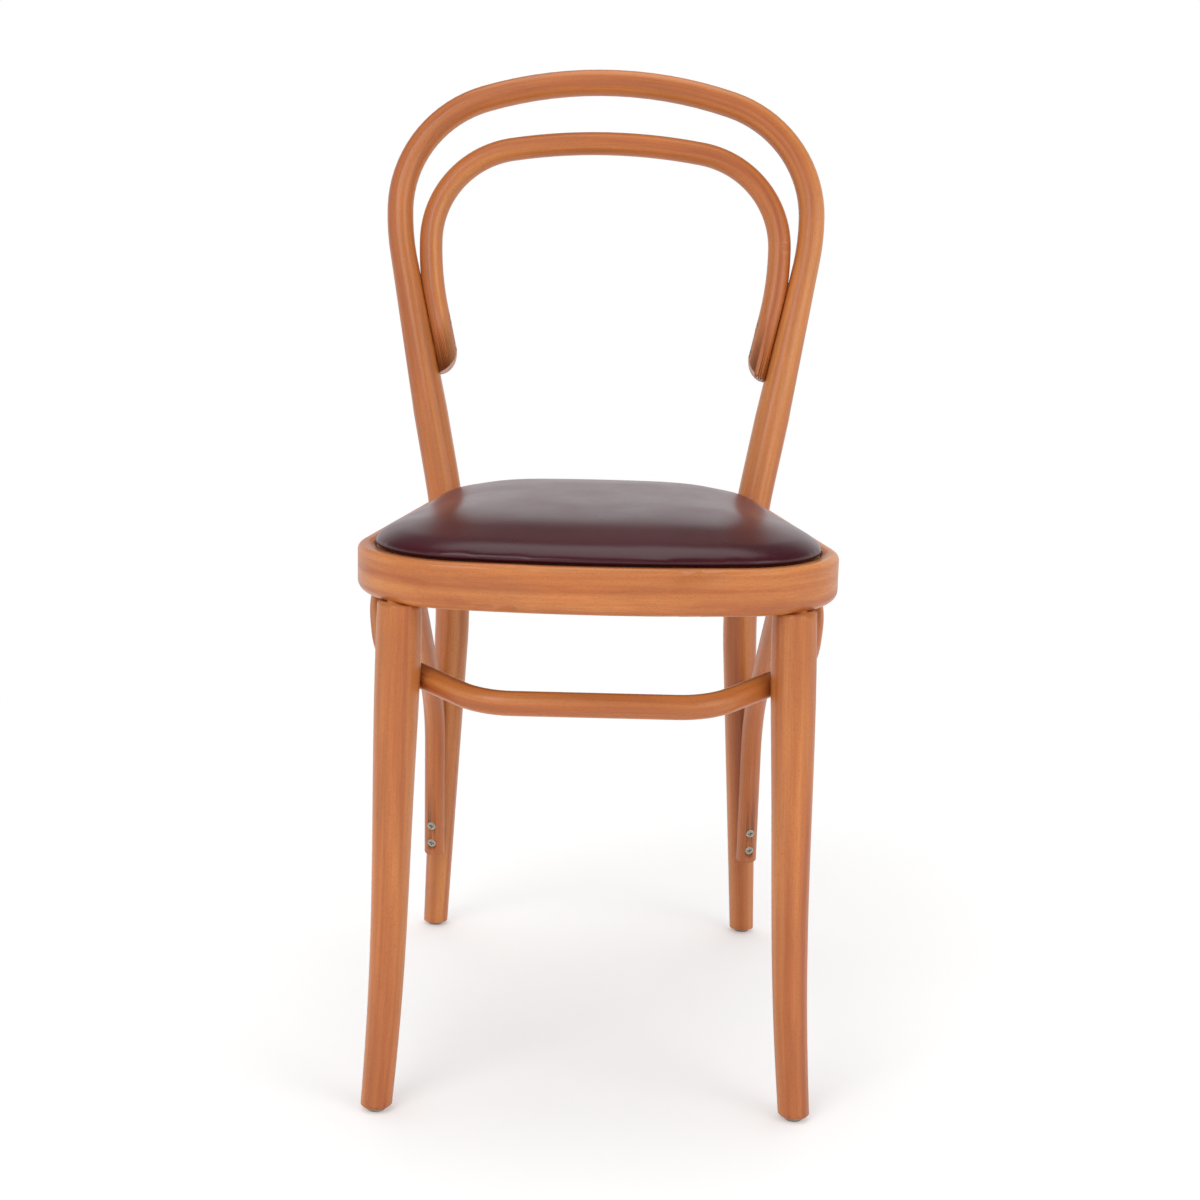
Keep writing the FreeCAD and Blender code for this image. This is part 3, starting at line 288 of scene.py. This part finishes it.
def zinc_plated_steel():
    """Zinc plated steel screws and bolts: grey metal, faintly mottled by handling."""
    material, tree, shader = new_material("zinc_plated_steel")
    place = add_node(tree, "ShaderNodeTexCoord")
    # Marks about 1 mm wide
    worn = add_node(tree, "ShaderNodeTexNoise", {"Scale": 900.0, "Detail": 3.0},
                    {"Vector": place.outputs["Object"]})
    tone = add_node(tree, "ShaderNodeValToRGB", links={"Fac": worn.outputs["Fac"]})
    colour_steps(tone, [(0.35, hex_colour("#8f8a80")), (0.65, hex_colour("#b9b4a8"))])
    tree.links.new(tone.outputs["Color"], shader.inputs["Base Color"])
    rough = add_node(tree, "ShaderNodeMapRange", {"To Min": 0.28, "To Max": 0.45},
                     {"Value": worn.outputs["Fac"]})
    tree.links.new(rough.outputs["Result"], shader.inputs["Roughness"])
    shader.inputs["Metallic"].default_value = 1.0
    return material


def grey_polyethylene():
    """Moulded polyethylene glides: waxy grey plastic with fine scuffs."""
    material, tree, shader = new_material("grey_polyethylene")
    place = add_node(tree, "ShaderNodeTexCoord")
    # Scuffs about 1.7 mm wide
    scuffs = add_node(tree, "ShaderNodeTexNoise", {"Scale": 600.0, "Detail": 4.0},
                      {"Vector": place.outputs["Object"]})
    tone = add_node(tree, "ShaderNodeValToRGB", links={"Fac": scuffs.outputs["Fac"]})
    colour_steps(tone, [(0.3, hex_colour("#8a8378")), (0.7, hex_colour("#a59d90"))])
    tree.links.new(tone.outputs["Color"], shader.inputs["Base Color"])
    bump = add_node(tree, "ShaderNodeBump", {"Strength": 0.15, "Distance": 0.0002},
                    {"Height": scuffs.outputs["Fac"]})
    tree.links.new(bump.outputs["Normal"], shader.inputs["Normal"])
    shader.inputs["Roughness"].default_value = 0.5
    return material


def birch_plywood():
    """Rotary cut birch plywood, sanded and raw: thin pale and brown veneers seen at the edge."""
    material, tree, shader = new_material("birch_plywood")
    place = add_node(tree, "ShaderNodeTexCoord")
    # Veneers 1.4 mm thick, so a pale and a brown one repeat every 2.8 mm
    plies = add_node(tree, "ShaderNodeTexWave", {"Scale": math.tau / (20 * 0.0028), "Distortion": 0.4},
                     {"Vector": place.outputs["Object"]}, bands_direction="Z")
    # Grain 33 mm long and 1 mm wide, from front to back
    grain_at = add_node(tree, "ShaderNodeMapping", {"Scale": (900.0, 30.0, 900.0)},
                        {"Vector": place.outputs["Object"]})
    grain = add_node(tree, "ShaderNodeTexNoise", {"Scale": 1.0, "Detail": 3.0},
                     {"Vector": grain_at.outputs["Vector"]})
    tone = add_node(tree, "ShaderNodeValToRGB", links={"Fac": plies.outputs["Fac"]})
    colour_steps(tone, [(0.3, hex_colour("#b98d5e")), (0.7, hex_colour("#dcbd8d"))])
    mixed = add_node(tree, "ShaderNodeMix", {"B": hex_colour("#a87e50")},
                     {"Factor": grain.outputs["Fac"], "A": tone.outputs["Color"]}, data_type="RGBA")
    tree.links.new(mixed.outputs["Result"], shader.inputs["Base Color"])
    shader.inputs["Roughness"].default_value = 0.7
    return material


def black_bonded_cloth():
    """Spun-bonded black cloth: matte, with fine fibres and weld dimples 2 mm apart."""
    material, tree, shader = new_material("black_bonded_cloth")
    place = add_node(tree, "ShaderNodeTexCoord")
    dimples = add_node(tree, "ShaderNodeTexVoronoi", {"Scale": 500.0, "Randomness": 0.2},
                       {"Vector": place.outputs["Object"]})
    # Fibres, drawn 0.6 mm wide, which is coarser than real ones, so that they show
    fibres = add_node(tree, "ShaderNodeTexNoise", {"Scale": 1800.0, "Detail": 3.0},
                      {"Vector": place.outputs["Object"]})
    tone = add_node(tree, "ShaderNodeValToRGB", links={"Fac": fibres.outputs["Fac"]})
    colour_steps(tone, [(0.3, hex_colour("#141414")), (0.75, hex_colour("#2c2b2a"))])
    tree.links.new(tone.outputs["Color"], shader.inputs["Base Color"])
    bump = add_node(tree, "ShaderNodeBump", {"Strength": 0.3, "Distance": 0.0003},
                    {"Height": dimples.outputs["Distance"]})
    tree.links.new(bump.outputs["Normal"], shader.inputs["Normal"])
    shader.inputs["Roughness"].default_value = 0.9
    return material


def material_of(maker):
    """The material that a maker function makes, made once."""
    found = bpy.data.materials.get(maker.__name__)
    return found or maker()


# Grain that follows a bent rod

def rounded_line(corners, step=0.004):
    """Points in metres along a path whose corners are rounded by their radii."""
    points = [np.array(corner[:3]) * MM for corner in corners]
    radii = [corner[3] * MM for corner in corners]
    line = [points[0]]
    for before, vertex, after, radius in zip(points, points[1:], points[2:], radii[1:]):
        back = (before - vertex) / np.linalg.norm(before - vertex)
        ahead = (after - vertex) / np.linalg.norm(after - vertex)
        half = math.acos(max(-1.0, min(1.0, float(back @ ahead)))) / 2
        if half > math.pi / 2 - 1e-4:
            continue
        centre = vertex + (back + ahead) / np.linalg.norm(back + ahead) * radius / math.sin(half)
        start = vertex + back * radius / math.tan(half) - centre
        end = vertex + ahead * radius / math.tan(half) - centre
        sweep = math.pi - 2 * half
        count = max(3, int(radius * sweep / step))
        for index in range(count + 1):
            t = index / count
            spoke = start * math.sin((1 - t) * sweep) + end * math.sin(t * sweep)
            line.append(centre + spoke / math.sin(sweep))
    line.append(points[-1])
    return np.array(line)


def whole_line(corners):
    """The path of a half rod joined to its mirror image."""
    mirrored = [(-x, y, z, radius) for x, y, z, radius in corners if x > 0]
    return rounded_line(corners + mirrored[::-1])


def carried_frames(line):
    """Lengths along a line, and two side directions that are carried along it without twisting."""
    steps = np.diff(line, axis=0)
    lengths = np.linalg.norm(steps, axis=1)
    headings = steps / lengths[:, None]
    side = np.cross(headings[0], (0.0, 1.0, 0.0))
    side /= np.linalg.norm(side)
    sides = []
    for heading in headings:
        side = side - heading * (side @ heading)
        side /= np.linalg.norm(side)
        sides.append(side)
    sides = np.array(sides)
    return np.concatenate(([0.0], np.cumsum(lengths))), headings, sides, np.cross(headings, sides)


def grain_along(points, line, shift):
    """For each point: length along the line, and its two offsets from it."""
    travelled, headings, sides, tops = carried_frames(line)
    result = np.zeros((len(points), 3))
    spans = np.diff(travelled)
    # Points are taken in blocks, which keeps the table of distances small
    block = 4000
    for first in range(0, len(points), block):
        chunk = points[first:first + block]
        away = chunk[:, None, :] - line[None, :-1, :]
        along = np.clip(np.einsum("ijk,jk->ij", away, headings), 0, spans[None, :])
        feet = away - along[:, :, None] * headings[None, :, :]
        nearest = np.argmin(np.einsum("ijk,ijk->ij", feet, feet), axis=1)
        rows = np.arange(len(chunk))
        offset = away[rows, nearest]
        ahead = np.einsum("ij,ij->i", offset, headings[nearest])
        result[first:first + block, 0] = travelled[nearest] + ahead
        result[first:first + block, 1] = np.einsum("ij,ij->i", offset, sides[nearest])
        result[first:first + block, 2] = np.einsum("ij,ij->i", offset, tops[nearest])
    return result + np.array(shift)


def outline_seen_from_above(points):
    """Each point's direction and distance from the middle, and the outline's directions and distances."""
    angles = np.arctan2(points[:, 1], points[:, 0])
    reach = np.hypot(points[:, 0], points[:, 1])
    ways = []
    edge = []
    for way in np.linspace(-math.pi, math.pi, 181):
        apart = np.abs((angles - way + math.pi) % math.tau - math.pi)
        near = reach[apart < 0.05]
        if len(near):
            ways.append(way)
            edge.append(near.max())
    return angles, reach, np.array(ways), np.array(edge)


def grain_round_ring(points, shift):
    """For each point of the seat ring: length round it, distance inside its outline, and height."""
    middle = (points.min(0) + points.max(0)) / 2
    angles, reach, ways, edge = outline_seen_from_above(points - middle)
    spans = np.hypot(np.diff(edge * np.cos(ways)), np.diff(edge * np.sin(ways)))
    travelled = np.concatenate(([0.0], np.cumsum(spans)))
    inside = np.interp(angles, ways, edge, period=math.tau) - reach
    result = np.stack([np.interp(angles, ways, travelled), inside, points[:, 2]], axis=1)
    return result + np.array(shift)


def mesh_points(mesh):
    """A mesh's points as rows of x, y and z."""
    points = np.zeros(len(mesh.vertices) * 3)
    mesh.vertices.foreach_get("co", points)
    return points.reshape(-1, 3)


def write_points(mesh, points):
    """Moves a mesh's points to new places."""
    mesh.vertices.foreach_set("co", points.astype(np.float32).ravel())
    mesh.update()


def only(piece):
    """Makes a piece the only selected and active object."""
    bpy.ops.object.select_all(action="DESELECT")
    piece.select_set(True)
    bpy.context.view_layer.objects.active = piece


def welded_copy(node_name, name):
    """A new piece with the mesh of a CAD node, whose loose triangles are merged."""
    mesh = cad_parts[node_name].data.copy()
    mesh.name = name
    piece = bpy.data.objects.new(name, mesh)
    bpy.context.scene.collection.objects.link(piece)
    only(piece)
    bpy.ops.object.mode_set(mode="EDIT")
    bpy.ops.mesh.select_all(action="SELECT")
    bpy.ops.mesh.remove_doubles(threshold=1e-6)
    bpy.ops.object.mode_set(mode="OBJECT")
    bpy.ops.object.shade_smooth_by_angle(angle=math.radians(32))
    return piece


def dress_wood(node_name, line, shift):
    """Replaces a wooden node by its welded copy, with grain along a line or, without one, round the ring.

    The shift takes another place in the pattern, so that no two pieces have the same grain.
    """
    piece = welded_copy(node_name, node_name + "_grained")
    points = mesh_points(piece.data)
    grain = grain_round_ring(points, shift) if line is None else grain_along(points, line, shift)
    layer = piece.data.attributes.new("grain", "FLOAT_VECTOR", "POINT")
    layer.data.foreach_set("vector", grain.astype(np.float32).ravel())
    piece.data.materials.clear()
    piece.data.materials.append(material_of(lacquered_beech))
    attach(piece, "root")
    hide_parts(node_name)


def dress_nodes(names, maker):
    """Gives CAD nodes a material in place of their plain one."""
    for name in names:
        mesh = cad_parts[name].data
        mesh.materials.clear()
        mesh.materials.append(material_of(maker))


class CHAIR_OT_back(bpy.types.Operator):
    """Gives the back hoop and the loop inside it their beech grain"""
    bl_idname = "chair.dress_back"
    bl_label = "Dress the bent back"

    def execute(self, context):
        dress_wood("back_hoop", whole_line(HOOP_LINE), (0.0, 0.11, 0.23))
        dress_wood("back_loop", whole_line(LOOP_LINE), (3.1, 0.34, 0.08))
        return {"FINISHED"}


class CHAIR_OT_seat_ring(bpy.types.Operator):
    """Gives the seat ring grain that runs round it"""
    bl_idname = "chair.dress_seat_ring"
    bl_label = "Dress the seat ring"

    def execute(self, context):
        dress_wood("seat_ring", None, (6.2, 0.05, 0.61))
        return {"FINISHED"}


class CHAIR_OT_legs(bpy.types.Operator):
    """Gives the two front legs their straight beech grain"""
    bl_idname = "chair.dress_legs"
    bl_label = "Dress the front legs"

    def execute(self, context):
        right = rounded_line(LEG_LINE)
        dress_wood("front_leg_right", right, (8.0, 0.17, 0.29))
        dress_wood("front_leg_left", right * np.array([-1.0, 1.0, 1.0]), (9.5, 0.47, 0.55))
        return {"FINISHED"}


class CHAIR_OT_brace(bpy.types.Operator):
    """Gives the bent leg brace its grain"""
    bl_idname = "chair.dress_brace"
    bl_label = "Dress the leg brace"

    def execute(self, context):
        dress_wood("leg_brace", whole_line(BRACE_LINE), (12.0, 0.71, 0.13))
        return {"FINISHED"}


class CHAIR_OT_fittings(bpy.types.Operator):
    """Gives screws, bolts, glides, board and dust cover their materials"""
    bl_idname = "chair.dress_fittings"
    bl_label = "Dress the fittings"

    def execute(self, context):
        steel = ["loop_screws", "brace_rear_screws", "brace_front_screws", "brace_ring_screws",
                 "hoop_bolts", "bolt_washers", "bolt_nuts", "seat_screws", "glide_nails", "cover_staples"]
        dress_nodes(steel, zinc_plated_steel)
        dress_nodes(["foot_glides"], grey_polyethylene)
        dress_nodes(["seat_board"], birch_plywood)
        dress_nodes(["dust_cover"], black_bonded_cloth)
        return {"FINISHED"}


# Seat pad

def dome(points):
    """Turns the cut foam's flat top into the low crown of the stuffed pad, with its thin edge."""
    middle = (points.min(0) + points.max(0)) / 2
    angles, reach, ways, edge = outline_seen_from_above(points - middle)
    share = reach / np.interp(angles, ways, edge, period=math.tau)
    risen = np.maximum(points[:, 2] - RING_TOP, 0.0)
    crown = (CROWN_RISE - (CROWN_RISE - EDGE_RISE) * share ** 3) / PAD_RISE
    points[:, 2] += risen * (crown - 1.0)
    return points


def swell(piece, most):
    """Fills a closed cloth skin with air. Each point moves straight out, at most as far as given."""
    only(piece)
    cloth = piece.modifiers.new("filling", "CLOTH")
    cloth.settings.quality = 6
    cloth.settings.mass = 0.3
    cloth.settings.tension_stiffness = 25
    cloth.settings.compression_stiffness = 25
    cloth.settings.shear_stiffness = 12
    cloth.settings.bending_stiffness = 2
    cloth.settings.use_pressure = True
    cloth.settings.uniform_pressure_force = 4
    cloth.settings.effector_weights.gravity = 0
    scene = bpy.context.scene
    before = mesh_points(piece.data)
    for number in range(1, FILLING_FRAMES + 1):
        scene.frame_set(number)
    filled = piece.evaluated_get(bpy.context.evaluated_depsgraph_get())
    travel = mesh_points(filled.to_mesh()) - before
    filled.to_mesh_clear()
    piece.modifiers.remove(cloth)
    scene.frame_set(1)
    normals = np.zeros(len(before) * 3)
    piece.data.vertex_normals.foreach_get("vector", normals)
    normals = normals.reshape(-1, 3)
    outward = np.clip(np.einsum("ij,ij->i", travel, normals), 0.0, most)
    # The part in the ring's step stays as it is
    free = np.clip((before[:, 2] - RING_TOP) / (0.3 * PAD_RISE), 0.0, 1.0)
    write_points(piece.data, before + normals * (outward * free)[:, None])


def modified(piece, kind, **options):
    """Applies one modifier to a piece."""
    only(piece)
    modifier = piece.modifiers.new(kind.lower(), kind)
    for name, value in options.items():
        setattr(modifier, name, value)
    bpy.ops.object.modifier_apply(modifier=modifier.name)


class CHAIR_OT_cushion(bpy.types.Operator):
    """Makes the upholstered seat pad from the space that the CAD model leaves for it"""
    bl_idname = "chair.make_cushion"
    bl_label = "Make the cushion"

    def execute(self, context):
        _, cushion, _ = settings()
        piece = welded_copy("seat_foam", "cushion")
        modified(piece, "REMESH", mode="VOXEL", voxel_size=cushion.cell)
        write_points(piece.data, dome(mesh_points(piece.data)))
        swell(piece, cushion.swell)
        modified(piece, "SMOOTH", factor=0.5, iterations=24)
        modified(piece, "SUBSURF", levels=1, render_levels=1)
        piece.data.materials.clear()
        piece.data.materials.append(material_of(burgundy_leatherette))
        only(piece)
        bpy.ops.object.shade_smooth()
        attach(piece, "root")
        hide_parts("seat_cover", "seat_foam")
        return {"FINISHED"}


# Studio

def white_floor():
    """The floor: it keeps the chair's shadow, and the camera sees it turn to even white further out."""
    _, _, studio = settings()
    bpy.ops.object.select_all(action="DESELECT")
    bpy.ops.mesh.primitive_plane_add(size=12.0, location=(0.0, 0.0, 0.0))
    floor = bpy.context.active_object
    floor.name = "studio_floor"
    material, tree, shader = new_material("white_studio_floor")
    shader.inputs["Base Color"].default_value = hex_colour(studio.floor)
    shader.inputs["Roughness"].default_value = 0.9
    shader.inputs["Specular IOR Level"].default_value = 0.0
    # From 0.5 m to 1.5 m away from the chair's middle the floor turns white
    place = add_node(tree, "ShaderNodeTexCoord")
    reach = add_node(tree, "ShaderNodeVectorMath", links={0: place.outputs["Object"]}, operation="LENGTH")
    share = add_node(tree, "ShaderNodeMapRange",
                     {"From Min": 0.5, "From Max": 1.5, "To Min": 0.25, "To Max": 1.0},
                     {"Value": reach.outputs["Value"]})
    rays = add_node(tree, "ShaderNodeLightPath")
    white_share = add_node(tree, "ShaderNodeMath", operation="MULTIPLY",
                           links={0: rays.outputs["Is Camera Ray"], 1: share.outputs["Result"]})
    glow = add_node(tree, "ShaderNodeEmission", {"Color": WHITE, "Strength": 1.0})
    mixed = add_node(tree, "ShaderNodeMixShader",
                     links={0: white_share.outputs["Value"], 1: shader.outputs["BSDF"],
                            2: glow.outputs["Emission"]})
    tree.links.new(mixed.outputs["Shader"], tree.nodes["Material Output"].inputs["Surface"])
    floor.data.materials.append(material)
    return floor


def white_world():
    """The world: white to the camera, and an even soft light on the chair."""
    world = bpy.data.worlds.new("white_studio")
    world.use_nodes = True
    tree = world.node_tree
    tree.nodes.clear()
    rays = add_node(tree, "ShaderNodeLightPath")
    seen = add_node(tree, "ShaderNodeMath", operation="MAXIMUM",
                    links={0: rays.outputs["Is Camera Ray"], 1: rays.outputs["Is Transmission Ray"]})
    # Glossy surfaces show the white backdrop low down and the dim ceiling of the studio above it
    way = add_node(tree, "ShaderNodeTexCoord")
    height = add_node(tree, "ShaderNodeSeparateXYZ", links={0: way.outputs["Generated"]})
    shown = add_node(tree, "ShaderNodeMapRange",
                     {"From Min": 0.3, "From Max": 0.55, "To Min": 1.0, "To Max": 0.1},
                     {"Value": height.outputs["Z"]})
    mirrored = add_node(tree, "ShaderNodeBackground", {"Color": WHITE},
                        {"Strength": shown.outputs["Result"]})
    dim = add_node(tree, "ShaderNodeBackground", {"Color": WHITE, "Strength": 0.75})
    white = add_node(tree, "ShaderNodeBackground", {"Color": WHITE, "Strength": 1.0})
    cast = add_node(tree, "ShaderNodeMixShader",
                    links={0: rays.outputs["Is Glossy Ray"], 1: dim.outputs["Background"],
                           2: mirrored.outputs["Background"]})
    mixed = add_node(tree, "ShaderNodeMixShader",
                     links={0: seen.outputs["Value"], 1: cast.outputs["Shader"],
                            2: white.outputs["Background"]})
    add_node(tree, "ShaderNodeOutputWorld", links={"Surface": mixed.outputs["Shader"]})
    return world


def placed(name, data, place):
    """A lamp or a camera as an object of the scene."""
    holder = bpy.data.objects.new(name, data)
    holder.location = place
    bpy.context.scene.collection.objects.link(holder)
    return holder


def soft_lamp(name, place, width, power):
    """A round soft lamp that is aimed at the chair's seat."""
    lamp = bpy.data.lights.new(name, "AREA")
    lamp.shape = "DISK"
    lamp.size = width
    lamp.energy = power
    aim = LAMPS_AIM - Vector(place)
    placed(name, lamp, place).rotation_euler = aim.to_track_quat("-Z", "Y").to_euler()


def photo_camera():
    """The photograph's camera, found from the chair's own symmetric points."""
    _, _, studio = settings()
    camera = bpy.data.cameras.new("photo_camera")
    camera.lens = studio.lens
    camera.sensor_width = 36.0
    holder = placed("photo_camera", camera, studio.camera)
    pitch, roll, yaw = studio.aim
    ahead = Vector((math.sin(yaw) * math.cos(pitch), math.cos(yaw) * math.cos(pitch), -math.sin(pitch)))
    level = Vector((math.cos(yaw), -math.sin(yaw), 0.0))
    upward = level.cross(ahead)
    right = level * math.cos(roll) + upward * math.sin(roll)
    up = upward * math.cos(roll) - level * math.sin(roll)
    turn = Matrix((right, up, -ahead)).transposed()
    holder.rotation_euler = turn.to_euler()
    return holder


class CHAIR_OT_studio(bpy.types.Operator):
    """Sets up the white studio floor, the soft lamps and the photograph's camera"""
    bl_idname = "chair.make_studio"
    bl_label = "Make the studio"

    def execute(self, context):
        _, _, studio = settings()
        floor = white_floor()
        context.scene.world = white_world()
        for name, place, width, share in LAMPS:
            soft_lamp(name, place, width, studio.key_power * share)
        context.scene.camera = photo_camera()
        context.scene.view_settings.view_transform = "Standard"
        return {"FINISHED"}


class CHAIR_PT_panel(bpy.types.Panel):
    """Lists the chair's steps and settings"""
    bl_label = "Bistro chair"
    bl_idname = "CHAIR_PT_panel"
    bl_space_type = "VIEW_3D"
    bl_region_type = "UI"
    bl_category = "Chair"

    def draw(self, context):
        layout = self.layout
        for group in settings():
            box = layout.box()
            for name in group.bl_rna.properties.keys():
                if name not in ("rna_type", "name"):
                    box.prop(group, name)
        for operator in OPERATORS:
            layout.operator(operator.bl_idname)


OPERATORS = (CHAIR_OT_back, CHAIR_OT_seat_ring, CHAIR_OT_legs, CHAIR_OT_brace, CHAIR_OT_fittings,
             CHAIR_OT_cushion, CHAIR_OT_studio)
CLASSES = (BeechSettings, CushionSettings, StudioSettings) + OPERATORS + (CHAIR_PT_panel,)


def register():
    for each in CLASSES:
        bpy.utils.register_class(each)
    bpy.types.Scene.chair_beech = PointerProperty(type=BeechSettings)
    bpy.types.Scene.chair_cushion = PointerProperty(type=CushionSettings)
    bpy.types.Scene.chair_studio = PointerProperty(type=StudioSettings)


def unregister():
    del bpy.types.Scene.chair_studio
    del bpy.types.Scene.chair_cushion
    del bpy.types.Scene.chair_beech
    for each in reversed(CLASSES):
        bpy.utils.unregister_class(each)


def main():
    register()
    bpy.ops.chair.dress_back()
    bpy.ops.chair.dress_seat_ring()
    bpy.ops.chair.dress_legs()
    bpy.ops.chair.dress_brace()
    bpy.ops.chair.dress_fittings()
    bpy.ops.chair.make_cushion()
    bpy.ops.chair.make_studio()


if __name__ == "__main__":
    main()
